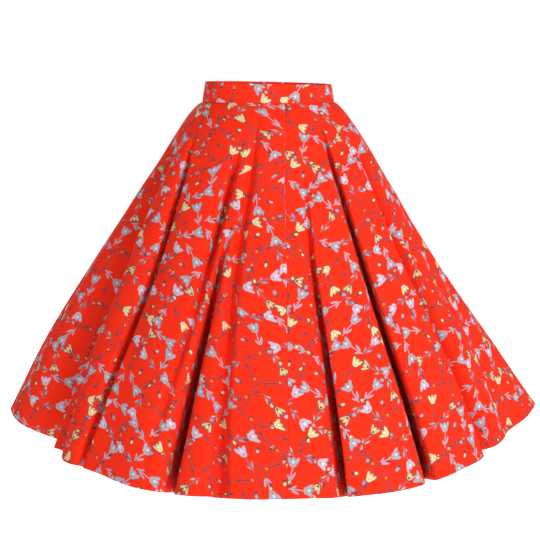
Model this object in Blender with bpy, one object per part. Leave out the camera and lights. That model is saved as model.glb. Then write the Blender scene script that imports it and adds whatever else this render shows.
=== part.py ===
"""Circle skirt worn over an unseen figure: a fitted waistband and four quarter-circle panels.

Metres, +Z up, front towards -Y. The origin is the centre of the waist opening, on the seam between the
waistband and the skirt. Angles are in degrees round the body: 0 is the front, 90 the wearer's left (+X),
180 the back. The cloth hangs in deep folds, because a full circle has more cloth at the hem than the
outline that the skirt stands out to. How deep they are is worked out from that spare cloth.
"""

import math
from collections import namedtuple

import bmesh
import bpy
import numpy as np
from mathutils import Matrix, Vector

# Driving sizes
SKIRT_LENGTH = 0.688  # waist seam to hem, along the cloth
WALL = 0.0012  # one layer of cotton
HEM_DEPTH = 0.012  # the hem is turned up twice by this much
HEM_WALL = 0.0024
SEAM_GAP = 0.0004  # between two panels
BAND_HEIGHT = 0.033
BAND_WALL = 0.002  # the waistband is doubled over
BAND_PROUD = 0.001  # how far it stands out from the skirt below it
BAND_TAPER = 0.0055  # how much narrower its top is, on each side
BAND_TILT = 0.0025  # its top edge is this much higher on the wearer's right
BAND_EDGE = 0.0006  # rounding of its edges

# Shape of the folds
FULL_TURN = 2 * math.pi
TROUGH_POWER = 2.6  # 2 gives a bell-shaped fold, more gives steeper sides and a rounder bottom
SHOULDER = 0.10  # share of a fold's depth that is a wide dip, which rounds off the cloth beside it
SHOULDER_WIDTH = 3.4  # how many times wider than the fold that dip is
FOLD_RAMP = 0.12  # length over which a fold sets in
STEEPEST_FOLD = 0.2  # most depth that a fold gains for each metre below the waist
SHARPEST_MITRE = 0.6  # the wall is at most this thin a share where it turns sharply
TROUGH_DROP = 0.36  # how much lower cloth hangs for each metre that it lies inside the outline

# Fineness of the mesh
AROUND = 3600  # steps in a section before columns are picked from it
DOWN = 135  # steps down the cloth in which the drop of the crests is added up
SIDE_COLUMNS = (0.45, 0.95, 1.45, 2.1)  # where columns run on each side of a fold, in half-widths
LOBE_STEP = 0.05  # between the other columns, about, at the hem
BAND_STEPS = 56
SECTIONS_AT = (0, 0.009, 0.032, 0.075, 0.155, 0.215, 0.27, 0.33, 0.41, 0.50, 0.59)

# The outline that the fold crests stand out to, at distances below the waist seam measured on the cloth
Outline = namedtuple("Outline", "below_seam half_width half_depth")
OUTLINES = (
    Outline(0.000, 0.1182, 0.0890),
    Outline(0.010, 0.1265, 0.0960),
    Outline(0.060, 0.1590, 0.1230),
    Outline(0.150, 0.2090, 0.1650),
    Outline(0.350, 0.3150, 0.2530),
    Outline(0.540, 0.4110, 0.3340),
    Outline(0.688, 0.4750, 0.3860),
)

# How far the outline stands out halfway down and at the hem, as a share of the plain oval, and how much
# lower the hem hangs where the cloth has stretched on the bias
Reach = namedtuple("Reach", "at_deg mid_share hem_share stretch")
REACHES = (
    Reach(0, 1.00, 1.00, -0.004),
    Reach(30, 1.00, 0.99, 0.004),
    Reach(50, 0.99, 0.985, -0.005),
    Reach(70, 0.985, 0.975, -0.012),
    Reach(90, 0.995, 1.065, -0.004),
    Reach(128, 1.00, 1.02, 0.004),
    Reach(160, 1.03, 1.05, 0.002),
    Reach(195, 1.03, 1.04, 0.000),
    Reach(232, 1.00, 1.01, 0.006),
    Reach(268, 1.02, 1.035, -0.004),
    Reach(288, 1.00, 0.99, -0.010),
    Reach(302, 0.99, 0.965, -0.006),
    Reach(318, 0.98, 0.965, -0.010),
    Reach(335, 1.00, 1.00, -0.001),
)

# Each fold's trough: its angle at four heights, where it sets in, its depth beside the other folds' at
# three heights, the half-width of its two sides at the hem, and how far it leans sideways
Fold = namedtuple(
    "Fold",
    "waist_deg upper_deg mid_deg hem_deg start upper_depth mid_depth hem_depth side_before side_after lean",
)
FOLDS = (
    Fold(-5, -9, -11.5, -10, 0.01, 0.35, 0.25, 0.25, 0.009, 0.012, 0.00),
    Fold(20, 16.8, 14.2, 14.2, 0.07, 0.10, 0.75, 1.10, 0.0065, 0.0065, 0.45),
    Fold(37, 34.2, 33, 35, 0.01, 0.95, 1.10, 1.10, 0.0065, 0.0065, 0.65),
    Fold(90, 60, 55, 56, 0.04, 0.60, 0.70, 0.75, 0.008, 0.016, 0.10),
    Fold(94, 80, 73, 72, 0.10, 0.10, 0.10, 0.08, 0.030, 0.040, 0.00),
    Fold(120, 102, 98, 99, 0.05, 0.60, 0.80, 1.00, 0.013, 0.010, 0.00),
    Fold(134, 122, 117, 117, 0.03, 1.00, 1.05, 1.05, 0.008, 0.009, -0.10),
    Fold(146, 138, 134, 133, 0.12, 0.40, 0.80, 0.95, 0.010, 0.008, 0.10),
    Fold(160, 154, 151, 151, 0.04, 1.00, 1.10, 1.05, 0.008, 0.008, 0.18),
    Fold(176, 172, 170, 169, 0.20, 0.25, 0.70, 0.95, 0.010, 0.009, 0.00),
    Fold(207, 203, 201, 199, 0.18, 0.30, 0.85, 1.10, 0.008, 0.008, -0.16),
    Fold(222, 220, 219, 218, 0.05, 1.00, 1.05, 1.00, 0.008, 0.009, 0.10),
    Fold(236, 238, 238, 237, 0.10, 0.50, 0.70, 0.95, 0.011, 0.008, 0.12),
    Fold(250, 256, 257, 257, 0.04, 0.90, 0.90, 0.90, 0.009, 0.011, 0.00),
    Fold(262, 289, 296, 296, 0.03, 0.50, 0.75, 1.00, 0.050, 0.014, 0.10),
    Fold(303, 312.5, 317.8, 315.5, 0.05, 1.10, 0.60, 0.15, 0.006, 0.007, -0.35),
    Fold(346, 341.8, 338.5, 333, 0.05, 0.85, 0.20, 0.00, 0.006, 0.009, -0.20),
    Fold(351, 347, 343.2, 339.8, 0.21, 0.05, 1.00, 1.15, 0.0065, 0.0065, -0.22),
)
DEPTHS_AT = (0.25, 0.6, 1.0)  # the heights of those depths, as shares of the length
ANGLES_AT = (0.0, 0.2, 0.5, 1.0)  # the heights of those angles

# The four seams between the panels, which turn a little round the body on the way down
Seam = namedtuple("Seam", "name waist_deg upper_deg mid_deg hem_deg")
SEAMS = (
    Seam("front", 14, 8.2, 5.9, 3.6),
    Seam("left_side", 104, 93, 87, 86),
    Seam("back", 190, 188, 186, 184),
    Seam("right_side", 257, 270, 273, 274),
)
PANELS = ("panel_front_left", "panel_back_left", "panel_back_right", "panel_front_right")

# The zip in the back seam, closed, with its slider at the top
ZIP_LENGTH = 0.155  # below the waist seam, at one of the sections
ZIP_SLIT = 0.0016  # between the cloth edges that it closes
ZIP_TOP_GAP = 0.001  # from its top end to the waistband's top edge
TAPE_BEHIND = 0.0005  # from the cloth's inner face to the tape
TAPE_WIDTH = 0.010  # on each side of the slit
TAPE_WALL = 0.0008
COIL_WIDTH = 0.0024
COIL_WALL = 0.0022  # from the tape's outer face to the coil's inner side
SLIDER_WIDTH = 0.006
SLIDER_LENGTH = 0.009
SLIDER_WALL = 0.0016
SLIDER_OFF = 0.00045  # from the waistband's face
NECK_WIDTH = 0.0007  # the slider's part in the slit
NECK_LENGTH = 0.006
NECK_DEPTH = 0.0021
LOOP_WIDTH = 0.0014  # the slider's loop for the pull tab
LOOP_WALL = 0.0009
LOOP_INSIDE = 0.0013  # from the pull tab's hinge line to the loop, three ways
HINGE_OFF = 0.0014  # from the slider's face to the hinge line
PULL_WIDTH = 0.0062
PULL_LENGTH = 0.022
PULL_WALL = 0.0011
PULL_BAR = 0.00055  # from the hinge line to the pull tab's top edge
PULL_EYE_WIDTH = 0.0034
PULL_EYE_LENGTH = 0.0030
PULL_REST_DEG = 6.5  # how far it tips in from the waistband's slope until it rests on the cloth

CLOTH_RED = (0.92, 0.035, 0.015)
ZIP_RED = (0.62, 0.02, 0.015)
METAL = (0.72, 0.70, 0.68)


def clear_scene():
    for thing in list(bpy.data.objects):
        bpy.data.objects.remove(thing, do_unlink=True)


def material(name, colour, roughness, metallic=0.0):
    made = bpy.data.materials.new(name)
    made.use_nodes = True
    shader = made.node_tree.nodes["Principled BSDF"]
    shader.inputs["Base Color"].default_value = (*colour, 1)
    shader.inputs["Roughness"].default_value = roughness
    shader.inputs["Metallic"].default_value = metallic
    return made


def cotton(name):
    """The dyed cotton of one cut piece."""
    return material(name + "_cotton", CLOTH_RED, 0.75)


def smooth_through(x, places, values):
    """A smooth curve through a table's points that never swings past them."""
    places, values = np.asarray(places, float), np.asarray(values, float)
    gaps = np.diff(places)
    slopes = np.diff(values) / gaps
    before, after = slopes[:-1], slopes[1:]
    total = np.where(before * after > 0, before + after, 1)
    inner = np.where(before * after > 0, 2 * before * after / total, 0)
    tangents = np.concatenate([[slopes[0]], inner, [slopes[-1]]])
    i = np.clip(np.searchsorted(places, x) - 1, 0, len(gaps) - 1)
    t = (x - places[i]) / gaps[i]
    rise = t * t * (3 - 2 * t)
    return (
        values[i] * (1 - rise)
        + values[i + 1] * rise
        + gaps[i] * (t * (1 - t) ** 2 * tangents[i] - t * t * (1 - t) * tangents[i + 1])
    )


def smoothstep(x):
    x = np.clip(x, 0, 1)
    return x * x * (3 - 2 * x)


def halving(x):
    return np.exp(-math.log(2) * x)


def widening(share):
    """A fold's width at a share of the way down, beside its width at the hem."""
    return 0.55 + 0.45 * share


def angle_at(row, share):
    """A fold's or seam's angle in radians at a share of the way down."""
    angles = (row.waist_deg, row.upper_deg, row.mid_deg, row.hem_deg)
    return math.radians(float(smooth_through(share, ANGLES_AT, angles)))


def outline_size(below):
    places = [row.below_seam for row in OUTLINES]
    wide = smooth_through(below, places, [row.half_width for row in OUTLINES])
    deep = smooth_through(below, places, [row.half_depth for row in OUTLINES])
    return float(wide), float(deep)


def all_round(angles, values):
    """A smooth curve round the body through one value for each row of the reaches."""
    places = [row.at_deg for row in REACHES]
    places = [places[-1] - 360, *places, 360 + places[0], 360 + places[1]]
    return smooth_through(np.degrees(angles) % 360, places, [values[-1], *values, values[0], values[1]])


def reach_at(share, angles):
    """The outline's own shape at one height, all the way round. At the waist it is a plain oval."""
    at_mid, at_hem = 4 * share * (1 - share), share * (2 * share - 1)
    return 1 + all_round(angles, [at_mid * (r.mid_share - 1) + at_hem * (r.hem_share - 1) for r in REACHES])


def crest_outline(below, angles):
    """The line through the fold crests at one height, as x and y."""
    wide, deep = outline_size(below)
    reach = reach_at(below / SKIRT_LENGTH, angles)
    return np.stack([wide * reach * np.sin(angles), -deep * reach * np.cos(angles)], axis=-1)


def crest_drops():
    """How far the crests have dropped after each of the equal steps down the cloth, a row for each."""
    rings = np.array([crest_outline(below, ANGLES) for below in np.linspace(0, SKIRT_LENGTH, DOWN + 1)])
    run = np.linalg.norm(np.diff(rings, axis=0), axis=2)
    fall = np.sqrt(np.maximum((SKIRT_LENGTH / DOWN) ** 2 - run**2, 0))
    return np.concatenate([np.zeros((1, len(ANGLES))), np.cumsum(fall, axis=0)])


def walk_round(points):
    """Distance walked along a line of points up to each of them."""
    return np.concatenate([[0], np.cumsum(np.linalg.norm(np.diff(points, axis=0), axis=1))])


ANGLES = np.linspace(0, FULL_TURN, AROUND + 1)
DROPS = crest_drops()
CUT_RADIUS = walk_round(crest_outline(0, ANGLES))[-1] / FULL_TURN  # of the circle cut out for the waist


def crest_drop(below):
    step = min(below / SKIRT_LENGTH * DOWN, DOWN - 1e-9)
    done = int(step)
    return DROPS[done] + (step - done) * (DROPS[done + 1] - DROPS[done])


def section(below):
    """One closed section of the skirt's outer face, and the distance walked round its outline."""
    share = below / SKIRT_LENGTH
    crest = crest_outline(below, ANGLES)
    ahead = np.roll(crest[:-1], -1, axis=0) - np.roll(crest[:-1], 1, axis=0)
    tangent = ahead / np.linalg.norm(ahead, axis=1)[:, None]
    tangent = np.concatenate([tangent, tangent[:1]])
    outward = np.stack([tangent[:, 1], -tangent[:, 0]], axis=-1)
    walked = walk_round(crest)
    depth, lean = np.zeros(len(crest)), np.zeros(len(crest))
    for fold in FOLDS:
        size = np.interp(share, DEPTHS_AT, (fold.upper_depth, fold.mid_depth, fold.hem_depth))
        size = size * smoothstep((below - fold.start) / FOLD_RAMP)
        centre = np.interp(angle_at(fold, share) % FULL_TURN, ANGLES, walked)
        away = (walked - centre + walked[-1] / 2) % walked[-1] - walked[-1] / 2
        side = np.where(away < 0, fold.side_before, fold.side_after) * widening(share)
        dip = halving((away / side / SHOULDER_WIDTH) ** 2)
        trough = size * ((1 - SHOULDER) * halving(np.abs(away / side) ** TROUGH_POWER) + SHOULDER * dip)
        depth += trough
        lean += trough * fold.lean

    def folded(scale):
        return crest - outward * (scale * depth)[:, None] + tangent * (scale * lean)[:, None]

    shallow, deepest = 0.0, STEEPEST_FOLD * below
    for _ in range(24):
        scale = (shallow + deepest) / 2
        if walk_round(folded(scale))[-1] < FULL_TURN * (CUT_RADIUS + below):
            shallow = scale
        else:
            deepest = scale
    stretch = all_round(ANGLES, [row.stretch for row in REACHES]) * share**2
    height = -crest_drop(below) - stretch - TROUGH_DROP * scale * depth
    return np.column_stack([folded(scale), height]), walked


def stations():
    """Seams and folds in order round the hem, starting at the front seam."""
    first = SEAMS[0].hem_deg
    return sorted([*SEAMS, *FOLDS], key=lambda row: (row.hem_deg - first) % 360)


def station_stretches(below, rows, walked):
    """From each station to the next: where they are, and how far the columns beside each fold reach."""
    share = below / SKIRT_LENGTH
    at = [np.interp(angle_at(row, share) % FULL_TURN, ANGLES, walked) for row in rows]
    at = np.unwrap([*at, at[0]], period=walked[-1])
    at[-1] = at[0] + walked[-1]
    widest = SIDE_COLUMNS[-1] * widening(share)
    stretches = []
    for i, row in enumerate(rows):
        after, most = rows[(i + 1) % len(rows)], 0.36 * (at[i + 1] - at[i])
        beyond = min(widest * row.side_after, most) if isinstance(row, Fold) else 0
        ahead = min(widest * after.side_before, most) if isinstance(after, Fold) else 0
        stretches.append((at[i], at[i + 1], beyond, ahead))
    return stretches


def lobe_columns(rows):
    """How many columns run between each station's own ones and the next's."""
    stretches = station_stretches(SKIRT_LENGTH, rows, section(SKIRT_LENGTH)[1])
    spans = [end - start - beyond - ahead for start, end, beyond, ahead in stretches]
    return [max(1, round(span / LOBE_STEP) - 1) for span in spans]


def ring_columns(below, rows, lobes):
    """The section's points at the mesh columns, starting at the front seam and going round once."""
    ring, walked = section(below)
    shares = np.array(SIDE_COLUMNS) / SIDE_COLUMNS[-1]
    picks = []
    for row, lobe, (start, end, beyond, ahead) in zip(rows, lobes, station_stretches(below, rows, walked)):
        picks.extend(start + beyond * shares if beyond else [start])
        picks.extend(np.linspace(start + beyond, end - ahead, lobe + 2)[1:-1])
        if ahead:
            picks.extend(end - ahead * shares[::-1])
    return np.column_stack([np.interp(np.array(picks) % walked[-1], walked, ring[:, k]) for k in range(3)])


def wall_offsets(grid):
    """The way out of a wall at each point, longer where it turns, and the way along its section."""
    after = np.roll(grid, -1, axis=1) - grid
    after /= np.linalg.norm(after, axis=2)[:, :, None]
    around = after + np.roll(after, 1, axis=1)
    around /= np.linalg.norm(around, axis=2)[:, :, None]
    normal = np.cross(np.gradient(grid, axis=0), around)
    normal /= np.linalg.norm(normal, axis=2)[:, :, None]
    return normal / np.maximum((around * after).sum(axis=2), SHARPEST_MITRE)[:, :, None], around


def wall_mesh(name, outer, inner, look):
    """A closed wall between two grids of points with open edges."""
    rows, columns = outer.shape[:2]
    points = np.concatenate([outer.reshape(-1, 3), inner.reshape(-1, 3)])
    back = rows * columns

    def at(row, column):
        return row * columns + column

    faces = []
    for r in range(rows - 1):
        for c in range(columns - 1):
            quad = (at(r, c), at(r + 1, c), at(r + 1, c + 1), at(r, c + 1))
            faces.append(quad)
            faces.append(tuple(back + i for i in reversed(quad)))
    for r in range(rows - 1):
        for c, flip in ((0, False), (columns - 1, True)):
            edge = (at(r, c), back + at(r, c), back + at(r + 1, c), at(r + 1, c))
            faces.append(edge[::-1] if flip else edge)
    for c in range(columns - 1):
        for r, flip in ((0, False), (rows - 1, True)):
            edge = (at(r, c), at(r, c + 1), back + at(r, c + 1), back + at(r, c))
            faces.append(edge[::-1] if flip else edge)
    return add_mesh(name, points, faces, look)


def add_mesh(name, points, faces, look, sharp_degrees=50):
    shape = bmesh.new()
    corners = [shape.verts.new(tuple(map(float, point))) for point in points]
    for face in faces:
        shape.faces.new([corners[i] for i in face])
    mesh = bpy.data.meshes.new(name)
    shape.to_mesh(mesh)
    shape.free()
    mesh.materials.append(look)
    mesh.shade_smooth()
    mesh.set_sharp_from_angle(angle=math.radians(sharp_degrees))
    thing = bpy.data.objects.new(name, mesh)
    bpy.context.scene.collection.objects.link(thing)
    return thing


def skirt_grid():
    """The outer face, section by section, with the column where each seam runs."""
    heights = [*SECTIONS_AT, SKIRT_LENGTH - HEM_DEPTH, SKIRT_LENGTH - HEM_DEPTH + 0.001, SKIRT_LENGTH]
    rows = stations()
    lobes = lobe_columns(rows)
    grid = np.array([ring_columns(below, rows, lobes) for below in heights])
    grid[0, :, 2] -= SEAM_GAP
    seam_columns, column = {}, 0
    for i, row in enumerate(rows):
        if isinstance(row, Seam):
            seam_columns[row.name] = column
        column += (len(SIDE_COLUMNS) if isinstance(row, Fold) else 1) + lobes[i]
        column += len(SIDE_COLUMNS) if isinstance(rows[(i + 1) % len(rows)], Fold) else 0
    return np.array(heights), grid, seam_columns


def parted(points, direction, gap):
    """Seam points moved aside by half of the gap between two pieces."""
    return points + direction * (gap / 2)


def build_panels(heights, grid, offsets, around, seam_columns):
    hem = heights > SKIRT_LENGTH - HEM_DEPTH
    wall = np.where(hem, HEM_WALL, WALL)[:, None, None]
    slit = np.where(heights <= ZIP_LENGTH, ZIP_SLIT, SEAM_GAP)
    order = [seam.name for seam in SEAMS]
    total = grid.shape[1]
    for i, name in enumerate(PANELS):
        first, last = order[i], order[(i + 1) % len(order)]
        begin, end = seam_columns[first], seam_columns[last]
        end += total if end <= begin else 0
        picked = np.arange(begin, end + 1) % total
        outer = grid[:, picked].copy()
        for edge, sign, seam in ((0, 1, first), (-1, -1, last)):
            gap = slit if seam == "back" else np.full(len(heights), SEAM_GAP)
            outer[:, edge] = parted(outer[:, edge], sign * around[:, picked[edge]], gap[:, None])
        wall_mesh(name, outer, outer - offsets[:, picked] * wall, cotton(name))


def band_point(angle, up, inward):
    """A point of the waistband: share of its height, and distance inward from its outer face."""
    wide, deep = outline_size(0)
    shrink = BAND_PROUD - BAND_TAPER * up - inward
    lift = BAND_HEIGHT * up - BAND_TILT * up * math.sin(angle)
    return ((wide + shrink) * math.sin(angle), -(deep + shrink) * math.cos(angle), lift)


def build_waistband():
    """One strip round the waist, with its ends at the back slit."""
    edge_up = BAND_EDGE / BAND_HEIGHT
    profile = (
        (0, BAND_EDGE),
        (edge_up, 0),
        (0.5, 0),
        (1 - edge_up, 0),
        (1, BAND_EDGE),
        (1, BAND_WALL - BAND_EDGE),
        (1 - edge_up, BAND_WALL),
        (0.5, BAND_WALL),
        (edge_up, BAND_WALL),
        (0, BAND_WALL - BAND_EDGE),
    )
    back = angle_at(SEAMS[2], 0)
    wide, deep = outline_size(0)
    half_slit = ZIP_SLIT / 2 / math.hypot(wide * math.cos(back), deep * math.sin(back))
    angles = np.linspace(back + half_slit, back + FULL_TURN - half_slit, BAND_STEPS + 1)
    loops = [[band_point(angle, up, inward) for up, inward in profile] for angle in angles]
    tube_mesh("waistband", loops, cotton("waistband"))


def tube_mesh(name, loops, look):
    """A closed body through loops of points that all have the same number."""
    count, n = len(loops), len(loops[0])
    faces = [tuple(range(n)), tuple(range((count - 1) * n, count * n))[::-1]]
    for i in range(count - 1):
        for k in range(n):
            here, after = i * n + k, i * n + (k + 1) % n
            faces.append((here, here + n, after + n, after))
    return add_mesh(name, [p for loop in loops for p in loop], faces, look)


def build_zip(heights, grid, offsets, back_column, look):
    """Both tapes and the coil between them as one strip behind the slit, bent along the skirt and band."""
    profile = (
        (TAPE_WIDTH, TAPE_WALL),
        (COIL_WIDTH / 2, TAPE_WALL),
        (COIL_WIDTH / 2, COIL_WALL),
        (-COIL_WIDTH / 2, COIL_WALL),
        (-COIL_WIDTH / 2, TAPE_WALL),
        (-TAPE_WIDTH, TAPE_WALL),
        (-TAPE_WIDTH, 0),
        (0, 0),
        (TAPE_WIDTH, 0),
    )
    loops = []
    back = angle_at(SEAMS[2], 0)
    turn = 1 / np.linalg.norm(np.array(band_point(back + 0.5, 0, 0)) - band_point(back - 0.5, 0, 0))
    for up in (1 - ZIP_TOP_GAP / BAND_HEIGHT, 0.5, 0.09):
        inward = BAND_WALL + TAPE_BEHIND
        loops.append([band_point(back + x * turn, up, inward + depth) for x, depth in profile])
    for row in range(int(np.searchsorted(heights, ZIP_LENGTH + 1e-6))):
        loop = []
        for x, depth in profile:
            beside = back_column + (1 if x > 0 else -1)
            share = abs(x) / np.linalg.norm(grid[row, beside] - grid[row, back_column])
            here = grid[row, back_column] * (1 - share) + grid[row, beside] * share
            facing = offsets[row, back_column] * (1 - share) + offsets[row, beside] * share
            loop.append(here - facing * (WALL + TAPE_BEHIND + depth))
        loops.append(loop)
    tube_mesh("zip", loops, look)


def band_frame(up):
    """Where the back slit is on the waistband's outer face, the way out, and the way along the band."""
    back = angle_at(SEAMS[2], 0)
    here = np.array(band_point(back, up, 0))
    along = np.array(band_point(back + 0.05, up, 0)) - np.array(band_point(back - 0.05, up, 0))
    along /= np.linalg.norm(along)
    slope = np.array(band_point(back, 1, 0)) - np.array(band_point(back, 0, 0))
    facing = np.cross(along, slope)
    return here, facing / np.linalg.norm(facing), along


def slider_place():
    """Matrix of the slider's own frame: x along the band, y outward, z up its slope, origin on its face."""
    middle = 1 - (ZIP_TOP_GAP + SLIDER_LENGTH / 2) / BAND_HEIGHT
    here, facing, along = band_frame(middle)
    upward = np.cross(facing, along)
    upward /= np.linalg.norm(upward)
    columns = [-along, facing, upward] if upward[2] > 0 else [along, facing, -upward]
    place = Matrix.Identity(4)
    for k, column in enumerate([*columns, here + facing * (SLIDER_OFF + SLIDER_WALL)]):
        for i in range(3):
            place[i][k] = float(column[i])
    return place


def block_mesh(name, xs, ys, zs, filled, place, look):
    """A closed body from cells of a lattice: filled says which cells are solid."""
    sizes = (len(xs) - 1, len(ys) - 1, len(zs) - 1)

    def solid(cell):
        return all(0 <= c < size for c, size in zip(cell, sizes)) and filled(*cell)

    points, faces = {}, []
    corners = ((0, 0), (1, 0), (1, 1), (0, 1))
    for cell in np.ndindex(*sizes):
        if not solid(cell):
            continue
        for axis in range(3):
            for side in (0, 1):
                beside = list(cell)
                beside[axis] += 2 * side - 1
                if solid(tuple(beside)):
                    continue
                quad = []
                for a, b in corners if side else corners[::-1]:
                    corner = [0, 0, 0]
                    corner[axis] = cell[axis] + side
                    corner[(axis + 1) % 3] = cell[(axis + 1) % 3] + a
                    corner[(axis + 2) % 3] = cell[(axis + 2) % 3] + b
                    quad.append(points.setdefault(tuple(corner), len(points)))
                faces.append(quad)
    places = [place @ Vector((xs[i], ys[j], zs[k])) for i, j, k in points]
    return add_mesh(name, places, faces, look)


def build_slider(look):
    """A small block on the slit, its neck in the slit, and a loop on its face for the pull tab."""
    inside, outside = LOOP_INSIDE, LOOP_INSIDE + LOOP_WALL
    half_widths = (NECK_WIDTH / 2, LOOP_WIDTH / 2, SLIDER_WIDTH / 2)
    xs = (*[-x for x in half_widths[::-1]], *half_widths)
    ys = (-SLIDER_WALL - SLIDER_OFF - NECK_DEPTH, -SLIDER_WALL, 0, HINGE_OFF + inside, HINGE_OFF + outside)
    half, neck = SLIDER_LENGTH / 2, NECK_LENGTH / 2
    zs = (-half, -neck, -outside, -inside, inside, outside, neck, half)

    def filled(i, j, k):
        if j == 0:
            return i == 2 and 1 <= k <= 5
        if j == 1:
            return True
        return 1 <= i <= 3 and (k in (2, 4) if j == 2 else 2 <= k <= 4)

    return block_mesh("zip_slider", xs, ys, zs, filled, slider_place(), look)


def rounded_outline(half_width, top, bottom, roundness, steps=5):
    """Points round a plate with rounded corners, from its upper right, seen from outside."""
    corners = ((1, top, 1, 0), (-1, top, 1, 90), (-1, bottom, -1, 180), (1, bottom, -1, 270))
    points = []
    for side, level, up, start in corners:
        for step in range(steps):
            turn = math.radians(start + 90 * step / (steps - 1))
            x = side * (half_width - roundness) + roundness * math.cos(turn)
            points.append((x, level - up * roundness + roundness * math.sin(turn)))
    return points


def build_pull(look):
    """The pull tab: a plate with an eye at its top, hanging in the slider's loop."""
    outer = rounded_outline(PULL_WIDTH / 2, PULL_BAR, PULL_BAR - PULL_LENGTH, 0.0022)
    eye_bottom = -PULL_BAR - PULL_EYE_LENGTH
    eye = rounded_outline(PULL_EYE_WIDTH / 2, -PULL_BAR, eye_bottom, 0.0004)
    tip = Matrix.Rotation(math.radians(-PULL_REST_DEG), 4, "X")
    place = slider_place() @ Matrix.Translation((0, HINGE_OFF, 0)) @ tip
    n = len(outer)
    points = [place @ Vector((x, y, z)) for y in (PULL_WALL / 2, -PULL_WALL / 2) for x, z in [*outer, *eye]]
    faces = []
    for k in range(n):
        after = (k + 1) % n
        faces.append((k, n + k, n + after, after))
        faces.append((2 * n + k, 2 * n + after, 3 * n + after, 3 * n + k))
        faces.append((k, after, 2 * n + after, 2 * n + k))
        faces.append((n + k, 3 * n + k, 3 * n + after, n + after))
    hinge = bpy.data.objects.new("pull_hinge", None)
    bpy.context.scene.collection.objects.link(hinge)
    hinge.matrix_world = place
    pull = add_mesh("zip_pull", [place.inverted() @ p for p in points], faces, look)
    pull.parent = hinge


def main():
    clear_scene()
    heights, grid, seam_columns = skirt_grid()
    offsets, around = wall_offsets(grid)
    build_panels(heights, grid, offsets, around, seam_columns)
    build_waistband()
    build_zip(heights, grid, offsets, seam_columns["back"], material("zip_tape", ZIP_RED, 0.6))
    build_slider(material("slider_metal", METAL, 0.3, metallic=1.0))
    build_pull(material("pull_metal", METAL, 0.3, metallic=1.0))


main()
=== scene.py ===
import math
import bmesh
import bpy
import numpy as np
from mathutils import Matrix, Vector


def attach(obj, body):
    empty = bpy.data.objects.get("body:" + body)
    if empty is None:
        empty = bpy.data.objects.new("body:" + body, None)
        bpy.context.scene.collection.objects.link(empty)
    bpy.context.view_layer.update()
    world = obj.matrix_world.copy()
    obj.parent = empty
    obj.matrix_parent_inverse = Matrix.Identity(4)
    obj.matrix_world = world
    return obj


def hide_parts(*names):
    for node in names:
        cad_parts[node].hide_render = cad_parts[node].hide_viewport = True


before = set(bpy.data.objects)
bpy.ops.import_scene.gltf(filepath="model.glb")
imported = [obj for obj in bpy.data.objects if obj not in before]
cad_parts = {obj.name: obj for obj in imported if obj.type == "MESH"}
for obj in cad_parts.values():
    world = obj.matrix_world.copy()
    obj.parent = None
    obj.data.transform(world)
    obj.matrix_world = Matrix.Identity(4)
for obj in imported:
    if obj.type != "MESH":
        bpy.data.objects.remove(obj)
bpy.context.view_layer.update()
fullTurn = 2 * math.pi
print("frame loaded")


# ---- sizes of the skirt as it hangs, in metres and degrees round the body, 0 at the front and 90 at +X
skirt = {
    "length": 0.688,  # waist seam to hem, along the cloth
    "cloth": 0.0008,  # thickness that shows at the edges
    "seamGroove": 0.0009,
    "seamLap": 0.00012,  # so that no light shows between two panels
    "waistGroove": 0.0013,
    "waistTopDip": 0.0002,  # of the row that runs up into the waistband
    "waistLap": 0.0015,  # how far it runs up
    "waistGrooveReach": 0.0022,  # how far down it is halved
    "hemDepth": 0.012,
    "hemGroove": 0.0003,  # along its stitches
    "hemStitchUp": 0.0105,  # above the hem, one of the rows below
    "troughPower": 2.6,
    "shoulder": 0.10,  # share of a fold's depth that falls off slowly on either side
    "shoulderWidth": 3.4,
    "foldRamp": 0.12,  # how far a fold takes to set in
    "foldWidthAtWaist": 0.55,  # against the width at the hem
    "steepestFold": 0.2,
    "troughDrop": 0.36,  # how far a trough hangs below the crests, against its depth
    "creaseFades": (0.07, 0.09),  # how far a soft crease takes to set in and to end
    "ripple": 0.0006,
    "rippleRows": (0.012, 0.11, 0.09),  # full from the first, gone by the second, fading over the third
    "around": 3600,
    "dropSteps": 135,
    "lobeStep": 0.013,
    "rowsBelowWaist": (0, 0.0015, 0.004, 0.008, 0.013),
    "rowsBetween": (0.019, 0.0165, 100),  # first below the waist, last above the hem, how many
    "rowsAboveHem": (0.0127, 0.0112, 0.0105, 0.0098, 0.007, 0.0035, 0),
    "cutTurn": 0.35,  # from one panel to the next on the flat cloth, so that the print doesn't meet at seams
    "cutShift": 1.7,
}

# distance below the waist seam, half width, half depth of the outline that the crests stand out to
outlineRows = [
    (0.000, 0.1182, 0.0890),
    (0.010, 0.1265, 0.0960),
    (0.060, 0.1590, 0.1230),
    (0.150, 0.2090, 0.1650),
    (0.350, 0.3150, 0.2530),
    (0.540, 0.4110, 0.3340),
    (0.688, 0.4750, 0.3860),
]

# angle, share of the plain oval halfway down and at the hem, extra drop where the bias has stretched
reachRows = [
    (0, 1.00, 1.00, -0.004),
    (30, 1.00, 0.99, 0.004),
    (50, 0.99, 0.985, -0.005),
    (70, 0.985, 0.975, -0.012),
    (90, 0.995, 1.065, -0.004),
    (128, 1.00, 1.02, 0.004),
    (160, 1.03, 1.05, 0.002),
    (195, 1.03, 1.04, 0.000),
    (232, 1.00, 1.01, 0.006),
    (268, 1.02, 1.035, -0.004),
    (288, 1.00, 0.99, -0.010),
    (302, 0.99, 0.965, -0.006),
    (318, 0.98, 0.965, -0.010),
    (335, 1.00, 1.00, -0.001),
]

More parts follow.
